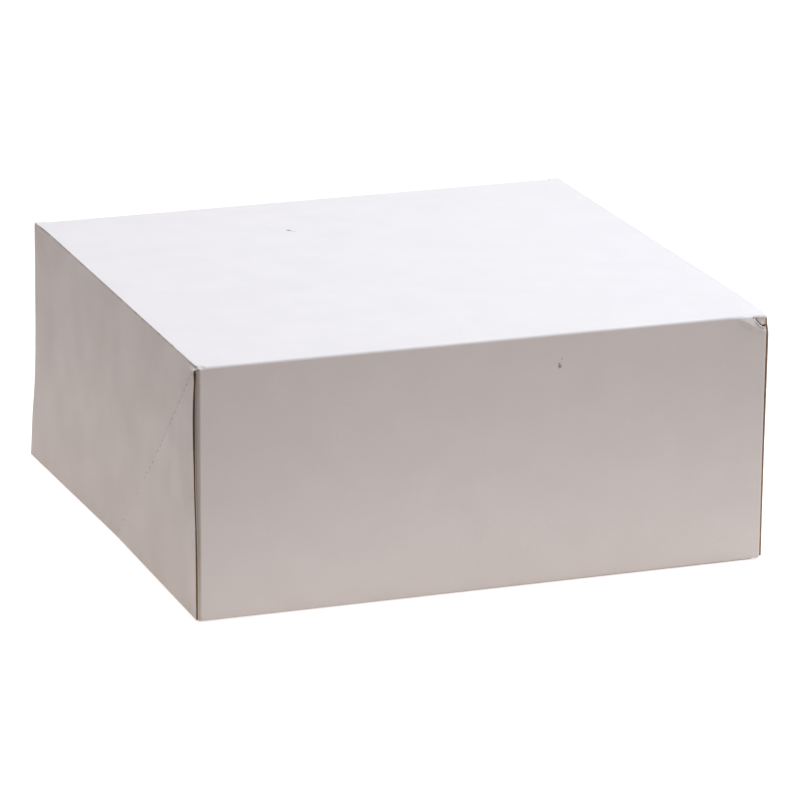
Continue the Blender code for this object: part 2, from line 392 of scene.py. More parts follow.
# The left fold's strip: scuffed grey, and painted shade where the side's raw edge stands in front of it.
fold = ((y, *SCUFF_AND_SHADE_Y, 0, 1), (z, *SCUFF_AND_SHADE_FOOT, 0, 1), (z, *SCUFF_AND_SHADE_HEAD, 0, 1))
scuff_and_shade = share_of(tree, (x, *SCUFF_AND_SHADE_X, SCUFF_AND_SHADE_SHARE, 0), *fold)
# Painted shade: dark brown on the fold next to the side's raw edge, where the gap is deepest.
fold_shade_limits = (x, *SCUFF_AND_SHADE_X, FOLD_SHADE_SHARE, 0), (y, *FOLD_SHADE_Y, 0, 1), (z, *FOLD_SHADE_FOOT, 0, 1)
fold_shade = share_of(tree, *fold_shade_limits, *fold)
# Painted shade: the dark line in the scored groove below the top's left fold.
tilted = {0: place, 1: SCORE_SHADE_TILT}
below = add_node(tree, "ShaderNodeVectorMath", tilted, operation="DOT_PRODUCT").outputs["Value"]
score = share_of(
    tree,
    (grain(tree, place, SCORE_SHADE_BREAK_SIZE), *SCORE_SHADE_BREAK_SHOWS),
    (x, *SCORE_SHADE_X, 1, 0),
    (below, *SCORE_SHADE_LINE[0], 0, 1),
    (below, *SCORE_SHADE_LINE[1], 1, 0),
)
coats += [(scuff_and_shade, SCUFF_AND_SHADE_GREY), (fold_shade, CORE_SHADE_BROWN), (score, SPECK_AND_SHADE_DARK)]
reliefs = ((fibres, FIBRE_DEPTH), (tooth, TOOTH_DEPTH))
surface(tree, COAT_WHITE, coats, reliefs, share_of(tree, (cloud, *COAT_ROUGHNESS)), COAT_IOR)

# %% [markdown]
# ### The brown inside: bare kraft back
#
# The back of the sheet is uncoated kraft pulp. Its long brown fibres lie mostly along the direction in which
# the board ran through the mill, with darker and lighter ones among them. It is fully matt.

# %% Kraft inside
KRAFT_BROWN = linear("#B79268")
KRAFT_DARK = linear("#9A7750")
KRAFT_LIGHT = linear("#CDAE86")
KRAFT_ROUGHNESS = 0.88
PULP_IOR = 1.47
STRAND_SIZE = 0.32 * MM
STRAND_STRETCH = (5, 1.6, 1.6)
STRAND_DETAIL = 3.0
STRAND_DEPTH = 0.02 * MM
BROWN_STRANDS = (0.35, 0.60, 0, 1)
LIGHT_STRANDS = (0.62, 0.72, 0, 0.6)
PATCH_SIZE = 12 * MM
DARK_PATCHES = (0.4, 0.7, 0, 0.25)

kraft, tree, place = new_finish("uncoated kraft back")
strands = grain(tree, place, STRAND_SIZE, STRAND_DETAIL, STRAND_STRETCH)
coats = (
    (share_of(tree, (strands, *BROWN_STRANDS)), KRAFT_BROWN),
    (share_of(tree, (strands, *LIGHT_STRANDS)), KRAFT_LIGHT),
    (share_of(tree, (grain(tree, place, PATCH_SIZE, STRAND_DETAIL), *DARK_PATCHES)), KRAFT_DARK),
)
surface(tree, KRAFT_DARK, coats, ((strands, STRAND_DEPTH),), KRAFT_ROUGHNESS, PULP_IOR)

# %% [markdown]
# ### The cut edge: bare core
#
# A steel rule cuts the sheet, so its edge shows the pulp core: thin layers of brown and grey fibre, a little
# fuzzy. The layers are a tenth of a millimetre thick, too fine to see here, and are drawn as coarse as they
# need to be to show. At the lid's left end the cut edges are painted darker brown, more so higher up:
# painted shade for the deep, narrow gap at the front left corner.

# %% Cut edge
CORE_BROWN = linear("#C0A58C")
CORE_DARK = linear("#9C7E62")
CORE_ROUGHNESS = 0.92
# Painted shade: the cut edges at the lid's left end are darker brown, more so higher up.
EDGE_SHADE_X = (-0.1165, -0.1160)
EDGE_SHADE_HEIGHT = (0.005, 0.060)
EDGE_SHADE_SHARE = (0.45, 0.80)
LAYER_SIZE = 0.30 * MM
LAYER_STRETCH = (1, 1, 4)
LAYER_DEPTH = 0.04 * MM
BROWN_LAYERS = (0.35, 0.65, 0, 1)

cut_edge, tree, place = new_finish("die-cut board edge")
layers = grain(tree, place, LAYER_SIZE, stretch=LAYER_STRETCH)
x, _, z = add_node(tree, "ShaderNodeSeparateXYZ", {0: place}).outputs
# Painted shade: darker brown on the cut edges at the lid's left end, more so higher up.
coats = (
    (share_of(tree, (layers, *BROWN_LAYERS)), CORE_BROWN),
    (share_of(tree, (x, *EDGE_SHADE_X, 1, 0), (z, *EDGE_SHADE_HEIGHT, *EDGE_SHADE_SHARE)), CORE_SHADE_BROWN),
)
surface(tree, CORE_DARK, coats, ((layers, LAYER_DEPTH),), CORE_ROUGHNESS, PULP_IOR)

# %% [markdown]
# ### The glue
#
# Carton glue is a white dispersion that dries to a clear, slightly yellow skin with a low gloss. It only
# shows where a glued corner gapes.

# %% Dried glue
GLUE_YELLOW = linear("#D9CBA0")
GLUE_ROUGHNESS = 0.30
GLUE_IOR = 1.48
BUBBLE_SIZE = 1.5 * MM
BUBBLE_DEPTH = 0.05 * MM
BUBBLES_SHOW = (0.3, 0.7, 0, 0.5)

dried_glue, tree, place = new_finish("dried carton glue")
bubbles = grain(tree, place, BUBBLE_SIZE)
coats = ((share_of(tree, (bubbles, *BUBBLES_SHOW)), KRAFT_LIGHT),)
surface(tree, GLUE_YELLOW, coats, ((bubbles, BUBBLE_DEPTH),), GLUE_ROUGHNESS, GLUE_IOR)
print("materials:", [material.name for material in bpy.data.materials])

# %% [markdown]
# ## Sizes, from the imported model
#
# Nothing is typed twice: the panels' planes, the folds' radius and the board's thickness are read off the
# CAD nodes, so the drawn sheets and the solids can't drift apart.

# %% Planes and radii
top_low, top_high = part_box("lid_top_panel")
front_low, front_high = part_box("lid_front_panel")
side_low, side_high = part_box("lid_left_panel")
glue_low, glue_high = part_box("lid_left_glue")
flap_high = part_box("lid_left_flap")[1]
floor_low, floor_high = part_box("base_panel")

BOARD = side_high.x - side_low.x
GLUE_FILM = glue_high.x - glue_low.x
FOLD = top_high.z - top_low.z
TOP = top_high.z
LID_X = top_high.x
LID_Y = top_low.y
HINGE_Y = top_high.y
HEM = front_low.z
LID_FOLD_X = front_high.x
TRAY_X = floor_high.x
TRAY_FRONT_Y = floor_low.y
TRAY_BACK_Y = floor_high.y
TRAY_FOLD_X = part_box("tray_front_wall")[1].x
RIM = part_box("tray_left_wall")[1].z
for name, size in (("board", BOARD), ("folds", FOLD), ("lid's width", 2 * LID_X), ("tray's", 2 * TRAY_X)):
    print(name, round(size / MM, 2), "mm")

# %% [markdown]
# ## Drawing a sheet
#
# A flat panel could be one face, but then it could neither bow nor carry a dent. A grid can, and its lines
# lie closest near the borders, where the folds, the crushed corners and the raw edges are. Each sheet is
# drawn as it is seen from outside: X runs along it, Y up it, and Z points out of it.

# %% A flat blank whose lines crowd towards its borders, and straight cuts through it
QUARTER = math.radians(90)
OUTSIDE = Vector((0, 0, 1))
TOUCH = 0.001 * MM
CROWDING = 0.85
ENDS = ((-1, 0), (1, 0))


def eased(place):
    """Moves a place between -0.5 and 0.5 towards the nearer end."""
    return place + CROWDING * math.sin(2 * math.pi * place) / (2 * math.pi)


def blank(low, high, columns, rows):
    """A flat sheet between two corners."""
    sheet = bmesh.new()
    bmesh.ops.create_grid(sheet, x_segments=columns, y_segments=rows, size=0.5)
    for vert in sheet.verts:
        vert.co.x = (low[0] + high[0]) / 2 + (high[0] - low[0]) * eased(vert.co.x)
        vert.co.y = (low[1] + high[1]) / 2 + (high[1] - low[1]) * eased(vert.co.y)
    return sheet


def cut(sheet, point, outward, faces=None, clear=True):
    """Cuts a sheet along a line, and drops what lies beyond it unless clear is off."""
    faces = list(sheet.faces) if faces is None else faces
    edges = {edge for face in faces for edge in face.edges}
    verts = {vert for face in faces for vert in face.verts}
    bmesh.ops.bisect_plane(
        sheet,
        geom=[*verts, *edges, *faces],
        dist=TOUCH,
        plane_co=(*point, 0),
        plane_no=(*outward, 0),
        clear_outer=clear,
    )


def trim(sheet, *limits, clear=True):
    """Cuts a sheet at a reach from its middle in each of some directions."""
    for outward, reach in limits:
        cut(sheet, (outward[0] * reach, outward[1] * reach), outward, clear=clear)


# %% [markdown]
# ### Folding a border over
#
# Scored board doesn't fold to a knife edge: it rolls over a radius of about a millimetre. Bevelling a sharp
# edge would round it too, but the real thing is a flat border that is turned, so the border's edges are spun
# through a quarter circle. Where two folded borders meet, the second spin takes the end of the first fold
# with it, and closes the corner with the eighth of a ball that a box corner has.

# %% Fold borders, and stand a sheet up in its place on the used box
FOLD_STEPS = 8


def fold_over(sheet, *borders):
    """Turns the border on each of some sides of a flat sheet back through a quarter circle."""
    for border in borders:
        outward = Vector((*border, 0))
        reach = max(vert.co.dot(outward) for vert in sheet.verts)
        edges = [
            edge for edge in sheet.edges
            if edge.is_boundary and all(vert.co.dot(outward) > reach - TOUCH for vert in edge.verts)
        ]
        bmesh.ops.spin(
            sheet,
            geom=[*edges, *{vert for edge in edges for vert in edge.verts}],
            cent=outward * reach - OUTSIDE * FOLD,
            axis=OUTSIDE.cross(outward),
            angle=QUARTER,
            steps=FOLD_STEPS,
        )


FACING = {
    "front": (QUARTER, 0, 0),
    "right": (QUARTER, 0, QUARTER),
    "back": (QUARTER, 0, 2 * QUARTER),
    "left": (QUARTER, 0, -QUARTER),
    "down": (2 * QUARTER, 0, 0),
    "up": (0, 0, 0),
}


def turned(facing):
    """The rotation that makes a sheet face its way."""
    x, y, z = (Matrix.Rotation(angle, 4, axis) for angle, axis in zip(FACING[facing], "XYZ"))
    return z @ y @ x


def stand(sheet, facing, place, lean):
    """Closes a drawn sheet's doubles, points it outwards, stands it in its plane and leans it."""
    bmesh.ops.remove_doubles(sheet, verts=sheet.verts, dist=TOUCH)
    bmesh.ops.recalc_face_normals(sheet, faces=sheet.faces)
    flat = max(sheet.faces, key=lambda face: face.calc_area())
    if flat.normal.z < 0:
        bmesh.ops.reverse_faces(sheet, faces=sheet.faces)
    bmesh.ops.transform(sheet, matrix=Matrix.Translation(place) @ turned(facing), verts=sheet.verts)
    moved = [lean(vert.co) for vert in sheet.verts]
    for vert, spot in zip(sheet.verts, moved):
        vert.co = spot
    return sheet


# %% [markdown]
# ### From sheet to board
#
# The last step is the same for every panel. The sheet becomes a mesh with its three materials, its cut
# borders are marked sharp so that the folds stay smooth beside them, and Solidify gives it the board's half
# millimetre on the inner side. The outer face stays exactly where it was drawn.

# %% Give a sheet its thickness, its materials and its body
made = []


def as_board(
    name, sheet, body, replaced, thickness=BOARD, finish=(coat, kraft, cut_edge)
):
    """Turns a standing sheet into a board that replaces a CAD node and moves with its body."""
    for edge in sheet.edges:
        edge.smooth = not edge.is_boundary
    mesh = bpy.data.meshes.new(name)
    sheet.to_mesh(mesh)
    sheet.free()
    for face in mesh.polygons:
        face.use_smooth = True
    for material in finish:
        mesh.materials.append(material)
    board = bpy.data.objects.new(name, mesh)
    scene.collection.objects.link(board)
    solid = board.modifiers.new("Board thickness", "SOLIDIFY")
    solid.thickness = thickness
    solid.offset = -1
    solid.material_offset = min(1, len(finish) - 1)
    solid.material_offset_rim = min(2, len(finish) - 1)
    if body:
        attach(board, body)
    if replaced:
        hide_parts(replaced)
    made.append(board)
    print(name, len(mesh.polygons), "faces")
    return board


# %% [markdown]
# ## How a used box is out of true
#
# A drawn box has dead flat panels, and no real one does. On this one the lid's sides spring out a little
# below their top fold, bow along the front corner, pinch in along the perforated crease, and splay at the
# back, where nothing holds them. The front leans in towards the table by half a millimetre. All of this is
# less than 2% of the box, but it makes board look like board. Each lean is a smooth function of a place on
# the box, shared by every piece of the lid, so that neighbours stay joined. The tables are in millimetres:
# first the place, then how far out the board stands there.

# %% A smooth curve through a few measured places, and smooth steps and grooves
def through(knots, at):
    """The value at a place of a smooth curve through (place, value) pairs, in rising order."""
    if at <= knots[0][0]:
        return knots[0][1]
    if at >= knots[-1][0]:
        return knots[-1][1]
    index = max(i for i in range(len(knots) - 1) if knots[i][0] <= at)
    (x0, y0), (x1, y1) = knots[index], knots[index + 1]
    before = knots[max(index - 1, 0)]
    after = knots[min(index + 2, len(knots) - 1)]
    slope0 = (y1 - before[1]) / (x1 - before[0])
    slope1 = (after[1] - y0) / (after[0] - x0)
    t = (at - x0) / (x1 - x0)
    step = x1 - x0
    return (
        (2 * t ** 3 - 3 * t ** 2 + 1) * y0
        + (t ** 3 - 2 * t ** 2 + t) * step * slope0
        + (3 * t ** 2 - 2 * t ** 3) * y1
        + (t ** 3 - t ** 2) * step * slope1
    )


def mix(low, high, share):
    """A value between two others."""
    return low + (high - low) * share


def ramp(value, start, end):
    """0 before start, 1 after end, and smooth between."""
    share = min(max((value - start) / (end - start), 0), 1)
    return share * share * (3 - 2 * share)


def hollow(distance, half):
    """A smooth groove's share of its depth at a distance from its middle."""
    return math.exp(-(distance / half) ** 2)


def rings(away, grooves):
    """The sum of grooves, each given by the place of its middle, its half width and its depth."""
    return sum(depth * hollow(away - middle, half) for middle, half, depth in grooves)


# %% [markdown]
# ### Knocked corners
#
# Both front corners of the lid have been knocked. The right one is dog-eared: the board has buckled along
# one line across the top and one down the front, and its tip is crushed into lumps behind a torn, curled
# lip. The left one is crushed a little, with a crease around it. These marks are one field of small shifts,
# in millimetres, that moves any piece near a corner, so that top, front and sides stay joined.

# %% The right corner's dog ear
EAR_TOP_LINE = ((117.3, -89.0), (105.5, -112.5))
EAR_FRONT_LINE = ((101.6, 102.2), (117.0, 94.3))
EAR_SLOPE_TOP = 0.09
EAR_SLOPE_FRONT = 0.34
EAR_REACH_FRONT = 3.6
EAR_FADE_BACK = (-112.0, -92.0)
EAR_FADE_DOWN = (0.0, 9.0)
RIDGE = 0.60
RIDGE_HALF = 0.6
RIDGE_ENDS = ((103.0, 106.0), (112.0, 116.5))


def past(place, line):
    """How far a flat place lies past a line, on the corner's side of it."""
    start, end = (Vector(point) for point in line)
    along = (end - start).normalized()
    offset = Vector(place) - start
    return along.x * offset.y - along.y * offset.x


def dog_ear(m):
    """The right corner's two buckled facets and the ridge between the front and its facet."""
    (left, _), (_, low) = EAR_FRONT_LINE
    if m.x < left or m.y > EAR_TOP_LINE[0][1] or m.z < low - EAR_FADE_DOWN[1]:
        return Vector()
    drop = EAR_SLOPE_TOP * max(past((m.x, m.y), EAR_TOP_LINE), 0) * (1 - ramp(TOP / MM - m.z, *EAR_FADE_DOWN))
    beyond = past((m.x, m.z), EAR_FRONT_LINE)
    back = EAR_SLOPE_FRONT * min(max(beyond, 0), EAR_REACH_FRONT)
    ridge = RIDGE * ramp(m.x, *RIDGE_ENDS[0]) * (1 - ramp(m.x, *RIDGE_ENDS[1]))
    ridge *= math.exp(min(beyond, 0) / RIDGE_HALF)
    return Vector((0, (back - ridge) * (1 - ramp(m.y, *EAR_FADE_BACK)), -drop))


# %% The right corner's torn lip, and the crumpled board behind it
LIP_LINE = (
    (108.6, 103.0), (109.8, 101.7), (111.2, 100.1), (112.4, 98.7), (113.6, 97.6), (114.8, 97.1),
    (116.2, 98.1),
)
LIP_FOLDS = ((0.0, 0.22, -0.62), (0.62, 0.27, 0.90), (1.7, 0.35, 0.18), (2.8, 0.35, 0.20))
LIP_ENDS = ((110.3, 111.6), (115.4, 116.2))
LIP_REGION = (107.6, -108.6, 95.6)
LIP_STEP = 0.1
CRUMPLE = (1.1, 0.40)
CRUMPLE_STARTS = (0.9, 1.6)
CRUSH_FADE_BACK = (-112.2, -110.6)
LUMP_SEED = 5

noise.seed_set(LUMP_SEED)  # vector noise is otherwise offset by the clock, and differs from run to run


def past_lip(x, z):
    """How far a place of the front lies above the torn lip."""
    low, high = (through(LIP_LINE, x + step) for step in (-LIP_STEP, LIP_STEP))
    return (z - (low + high) / 2) / math.hypot(1, (high - low) / (2 * LIP_STEP))


def crumpled(m):
    """The right corner's torn lip, the gap and the wrinkles behind it, and the lumps inside."""
    if m.x < LIP_REGION[0] or m.y > LIP_REGION[1] or m.z < LIP_REGION[2]:
        return Vector()
    inside = past_lip(m.x, m.z)
    shown = ramp(m.x, *LIP_ENDS[0]) * (1 - ramp(m.x, *LIP_ENDS[1])) * (1 - ramp(m.y, *CRUSH_FADE_BACK))
    lumps = noise.noise_vector(m / CRUMPLE[0]) * CRUMPLE[1] * ramp(inside, *CRUMPLE_STARTS) * shown
    return Vector((0, rings(inside, LIP_FOLDS) * shown, 0)) + lumps


# %% The left corner's knock
KNOCK_CENTRE = Vector((-117.4, -112.6, 102.6))
KNOCK_REACH = 4.2
KNOCK_SHIFT = Vector((0.35, 0.25, -1.00))
KNOCK_LUMP = (1.3, 0.60)
KNOCK_RING = ((2.4, 0.30, 0.34), (3.2, 0.40, -0.16))


def knocked(m):
    """The left corner, crushed in and lumpy, with a crease around it."""
    away = (m - KNOCK_CENTRE).length
    if away > KNOCK_REACH * 2:
        return Vector()
    share = 1 - ramp(away, 0, KNOCK_REACH)
    lumps = noise.noise_vector(m / KNOCK_LUMP[0]) * KNOCK_LUMP[1]
    return (lumps + KNOCK_SHIFT) * share + Vector((0, rings(away, KNOCK_RING), 0))


# %% Dents near the right corner, and all the marks together
DENT_CENTRE = Vector((117.4, -89.0, 102.5))
DENT_REACH = 2.6
DENT_DEPTH = 0.45
EDGE_SCORE = (115.5, 0.45, 0.10)
EDGE_SCORE_Z = (101.0, 102.0)
GROOVE_X = (106.6, 108.0, 110.4, 111.4)
GROOVE_Y = -111.6
GROOVE_Z = (100.0, 102.0)
GROOVE_DEPTH = 0.50
GROOVE_HALF = 0.42


def dented(m):
    """A nick and a score line by the top's right edge, and a short crease in the top by the dog ear."""
    dent = DENT_DEPTH * (1 - ramp((m - DENT_CENTRE).length, 0, DENT_REACH))
    across = ramp(m.x, *GROOVE_X[:2]) * (1 - ramp(m.x, *GROOVE_X[2:]))
    groove = GROOVE_DEPTH * across * hollow(m.y - GROOVE_Y, GROOVE_HALF) * ramp(m.z, *GROOVE_Z)
    score = rings(m.x, (EDGE_SCORE,)) * ramp(m.z, *EDGE_SCORE_Z)
    return Vector((0, 0, -dent - groove - score))


def handled(p):
    """How far handling has shifted a place of the lid, in metres."""
    m = p / MM
    return (dog_ear(m) + crumpled(m) + knocked(m) + dented(m)) * MM


# %% [markdown]
# ### The lid's sides
#
# Each side (-1 is the left one, 1 the right one) follows five curves: its top edge, how soon it springs out
# below that, its raw edge at the front, its perforated crease, and its back edge. It is flat across between
# those. The score below the top fold is a shallow groove of uneven depth, and the crease is another, which
# fades out on its way down.

# %% How far the lid's sides stand out
CREASE_FOOT_Y = -3.2 * MM
BROW = TOP - FOLD
TOP_EDGE_LEAN = {
    -1: ((-112, -0.18), (90, 0.12), (104, 0.45), (112, 1.25)),
    1: ((-112, 0.24), (112, 0.56)),
}
SPRING_LENGTH = {
    -1: ((-111, 0.25), (-106, 0.8), (-95, 4.0), (-70, 9.0), (80, 9.0), (100, 3.0), (112, 0.3)),
    1: ((-111, 1.2), (112, 1.2)),
}
RAW_EDGE_LEAN = {
    -1: ((0, 0.20), (13, 0.27), (25, 0.31), (38, 0.45), (50, 0.78), (62, 0.98), (74, 1.25), (85, 1.25),
         (91, 0.98), (95, 0.72), (98, 0.59), (99.6, 0.95), (101, 1.45)),
    1: ((0, 1.00), (16, 0.85), (33, 0.75), (50, 0.70), (66, 0.74), (84, 0.74), (95, 0.72), (98, 0.62),
        (101, 0.30)),
}
CREASE_LEAN = {
    -1: ((0, 0.70), (15, 0.45), (36, 0.04), (52, -0.28), (72, 0.00), (91, 0.75), (98, 0.90)),
    1: ((0, 0.60), (20, 0.30), (52, -0.20), (80, 0.30), (98, 0.50)),
}
BACK_EDGE_LEAN = {
    -1: ((0, 4.55), (6.5, 4.20), (20, 3.45), (29, 2.65), (40, 2.03), (56, 1.62), (73, 1.45), (86, 1.30),
         (94, 1.28), (100, 1.28)),
    1: ((0, 2.60), (20, 2.00), (40, 1.40), (73, 1.05), (97, 1.00)),
}
SCORE_DEPTH = 0.22
SCORE_UNEVEN = (0.6, 1.2)
SCORE_WANDER = 7 * MM
SCORE_HALF = 0.30 * MM
SCORE_HEIGHT = TOP - 0.55 * MM
CREASE_DEPTH = 0.18
CREASE_HALF = 0.30 * MM
CREASE_FADES = (40 * MM, 65 * MM)
ROLL_DEPTH = 0.15
ROLL_HEIGHT = 0.30 * MM


def crease_y(z):
    """How far back the perforated crease has come at a height."""
    return mix(LID_Y, CREASE_FOOT_Y, (TOP - z) / (TOP - HEM))


def side_lean(side, y, z):
    """How far a lid side stands outwards at a place, in metres."""
    height = z / MM
    wander = SCORE_UNEVEN[0] + SCORE_UNEVEN[1] * noise.noise(Vector((side, y / SCORE_WANDER, 0)))
    score = SCORE_DEPTH * wander * hollow(z - SCORE_HEIGHT, SCORE_HALF)
    top_edge = through(TOP_EDGE_LEAN[side], y / MM) - score
    if z >= BROW:
        return top_edge * MM
    crease = crease_y(z)
    at_crease = through(CREASE_LEAN[side], height)
    if y < crease:
        edge, share = RAW_EDGE_LEAN, (crease - y) / (crease - LID_Y)
    else:
        edge, share = BACK_EDGE_LEAN, (y - crease) / (HINGE_Y - crease)
    lean = mix(at_crease, through(edge[side], height), share)
    lean -= CREASE_DEPTH * ramp(z, *CREASE_FADES) * hollow((y - crease) / math.sqrt(2), CREASE_HALF)
    lean -= ROLL_DEPTH * math.exp(-(z - HEM) / ROLL_HEIGHT)
    sprung = 1 - math.exp(-(BROW - z) / (through(SPRING_LENGTH[side], y / MM) * MM))
    return mix(top_edge, lean, sprung) * MM


print("left side stands out", round(side_lean(-1, HINGE_Y, HEM) / MM, 2), "mm at the lower back corner")

# %% [markdown]
# ### The lid's front and how the lid sits
#
# The front leans and bulges, its corner folds follow the sides loosely, and the shut lid sits a little lower
# at the back left than at the front right. The glue flaps start at the corner folds and soon lie tight along
# the gussets that they are glued to.

# %% How the front and the shut lid are out of true
FRONT_LEAN_AT_TOP = ((-117, 0.29), (117, -0.59))
FRONT_LEAN_AT_HEM = 0.61
FRONT_BULGE = ((-116, 0.0), (-60, 0.12), (0, 0.32), (50, 0.50), (90, 0.50), (116, 0.0))
FRONT_FOLD_LEAN = {
    -1: ((0, 0.85), (25, 0.90), (37, 1.15), (50, 1.50), (62, 1.68), (73, 1.61), (85, 1.54), (98, 1.30)),
    1: ((0, 1.30), (50, 0.95), (98, 0.85)),
}
LID_SITS = (-0.55, 0.05, -0.10, 0.20)


def front_lean(x, y, z):
    """How far back the lid is at a place, most at the front and nothing at the hinge, in metres."""
    at_top = through(FRONT_LEAN_AT_TOP, x / MM)
    return mix(FRONT_LEAN_AT_HEM, at_top, z / TOP) * MM * (HINGE_Y - y) / (HINGE_Y - LID_Y)


def front_bow(x, z):
    """How far the front's middle bulges out past its straight borders, in metres."""
    up = min(max((z - HEM) / (BROW - HEM), 0), 1)
    roll = ROLL_DEPTH * math.exp(-(z - HEM) / ROLL_HEIGHT)
    return (through(FRONT_BULGE, x / MM) * 4 * up * (1 - up) - roll) * MM


def fold_lean(side, z):
    """How far a corner fold of the front stands outwards, in metres."""
    return through(FRONT_FOLD_LEAN[side], z / MM) * MM


def side_of(x):
    """-1 for the left half of the box, 1 for the right one."""
    return -1 if x < 0 else 1


def sits(x, y):
    """How much higher than drawn the shut lid sits at a place, from its four corners' heights, in metres."""
    across = (x + LID_X) / (2 * LID_X)
    forward = (HINGE_Y - y) / (HINGE_Y - LID_Y)
    back_left, back_right, front_left, front_right = LID_SITS
    return mix(mix(back_left, back_right, across), mix(front_left, front_right, across), forward) * MM


# %% Where each kind of piece lies on the used box
FOLD_PINCH = {-1: 0.85, 1: 0.30}
PINCH_STARTS = (LID_Y + FOLD, LID_Y + 4.5 * MM)
FLAP_SETTLE = 6 * MM
FLAP_PRESS = 0.58 * MM
FILM_PRESS = 0.28 * MM


def pinched(p):
    """Squares up a side fold of the top, which the scoring has made tighter than a true arc."""
    side = side_of(p.x)
    reach = max(abs(p.x) - (LID_X - FOLD), 0) / FOLD
    drop = (TOP - p.z) / FOLD
    share = FOLD_PINCH[side] * ramp(p.y, *PINCH_STARTS) * 2 * reach * (1 - drop)
    return Vector((p.x + side * share * (1 - reach) * FOLD, p.y, p.z + share * drop * FOLD))


def on_lid(p, out, q=None, bow=0.0):
    """Moves a place of the lid outwards, and by what the whole lid's lean, seat and handling do there."""
    q = p if q is None else q
    moved = Vector((q.x + side_of(p.x) * out, q.y + front_lean(*p) - bow, q.z + sits(p.x, p.y)))
    return moved + handled(p)


def lean_top(p):
    """The lid's top with its folds: each half is drawn out to its own top edge."""
    q = pinched(p)
    return on_lid(p, side_lean(side_of(p.x), p.y, max(q.z, BROW)) * abs(p.x) / LID_X, q)


def lean_side(p):
    """A lid side, its gusset, or the film of glue."""
    return on_lid(p, side_lean(side_of(p.x), p.y, p.z))


def lean_front(p):
    """The lid's front with its corner folds: each half is drawn out to its own fold."""
    return on_lid(p, fold_lean(side_of(p.x), p.z) * abs(p.x) / LID_FOLD_X, bow=front_bow(p.x, p.z))


def lean_flap(p):
    """A glue flap, from the front's fold to where it lies along the gusset."""
    side = side_of(p.x)
    share = ramp(p.y, LID_Y + FOLD, LID_Y + FOLD + FLAP_SETTLE)
    return on_lid(p, mix(fold_lean(side, p.z), side_lean(side, p.y, p.z) + FLAP_PRESS, share))


def lean_tray(p):
    """The tray stays true, but its back left corner is pressed down with the lid."""
    return Vector((p.x, p.y, p.z + min(sits(p.x, p.y), 0) * p.z / TOP))


# %% [markdown]
# ## The lid's top
#
# The top is a square of board with three borders folded down: left, right and front. Its back border runs
# into the hinge crease, which is a little narrower than the lid, as the back wall is. The sheet is folded
# twice at the two front corners, and the spins close them.

# %% Lid top
COLUMNS = 150
ROWS = 140
STRIP_X = TRAY_FOLD_X - FOLD

top_sheet = blank((-LID_X, LID_Y), (LID_X, HINGE_Y), COLUMNS, ROWS)
trim(top_sheet, *((end, LID_X - FOLD) for end in ENDS), ((0, -1), -LID_Y - FOLD))
trim(top_sheet, *((end, STRIP_X) for end in ENDS), ((0, 1), HINGE_Y - FOLD), clear=False)
hinge_part = [
    face for face in top_sheet.faces
    if face.calc_center_median().y > HINGE_Y - FOLD and abs(face.calc_center_median().x) < STRIP_X
]
bmesh.ops.delete(top_sheet, geom=hinge_part, context="FACES")
fold_over(top_sheet, *ENDS, (0, -1))
as_board("lid_top_board", stand(top_sheet, "up", (0, 0, TOP), lean_top), "lid", "lid_top_panel")

# %% [markdown]
# ## The lid's front
#
# The front hangs from the top's fold down to just above the table. Its ends fold back behind the sides,
# where they become the glue flaps. The torn lip by its right corner is finer than the sheet's grid, so more
# lines are cut in along it, and behind it a few bits of board are torn away.

# %% Lid front
FRONT_ROWS = 70
LIP_CORNER = Vector((107 * MM, 95 * MM))
LIP_CUTS = (
    -0.45, -0.25, -0.10, 0.05, 0.20, 0.35, 0.50, 0.65, 0.80, 0.95, 1.15, 1.40, 1.70, 2.00, 2.40, 2.80,
)
TEAR = (0.42, 0.80)
TEAR_X = (111.3, 115.2)

front_sheet = blank((-LID_X, HEM), (LID_X, BROW), COLUMNS, FRONT_ROWS)
trim(front_sheet, *((end, LID_FOLD_X - FOLD) for end in ENDS))
lip_start, lip_end = (Vector(LIP_LINE[place]) * MM for place in (1, 3))
across_lip = (lip_start - lip_end).orthogonal().normalized()
for step in LIP_CUTS:
    corner = [face for face in front_sheet.faces if min(face.calc_center_median().xy - LIP_CORNER) > 0]
    cut(front_sheet, lip_start + across_lip * step * MM, across_lip, corner, clear=False)
torn = []
for face in front_sheet.faces:
    spot = face.calc_center_median() / MM
    if TEAR_X[0] < spot.x < TEAR_X[1] and TEAR[0] < past_lip(spot.x, spot.y) < TEAR[1]:
        torn.append(face)
bmesh.ops.delete(front_sheet, geom=torn, context="FACES")
print(len(torn), "bits of board torn away behind the lip")
fold_over(front_sheet, *ENDS)
stand(front_sheet, "front", (0, LID_Y, 0), lean_front)
as_board("lid_front_board", front_sheet, "lid", "lid_front_panel")

# %% [markdown]
# ## The lid's sides, with their perforated creases
#
# Each lid side has one crease, from its front corner down and back at about 45 degrees, perforated so that
# it folds inwards when the box is collapsed for storage. The triangle in front of it, the gusset, is glued
# to the front's flap. The perforation could be painted on, but its nicks are real slots with lips that catch
# the light, so the sheet is cut across at both ends of each nick and the bits between are taken out.

# %% Lines along a crease, nicks in it, and the halves on either side
NICK_PITCH = 4.8 * MM
NICK_LENGTHS = (0.2 * MM, 2.0 * MM)
NICK_DEPTH = 0.09 * MM
NICK_SEED = 11
LIP_LINES = (0.30 * MM, 0.6 * MM, 1.1 * MM, 2.0 * MM, 3.4 * MM)


def crease_axes(start, end, towards):
    """The direction of a crease, and the one square to it on the side of a place."""
    along = (Vector(end) - Vector(start)).normalized()
    inward = along.orthogonal()
    return along, -inward if inward.dot(Vector(towards) - Vector(start)) < 0 else inward


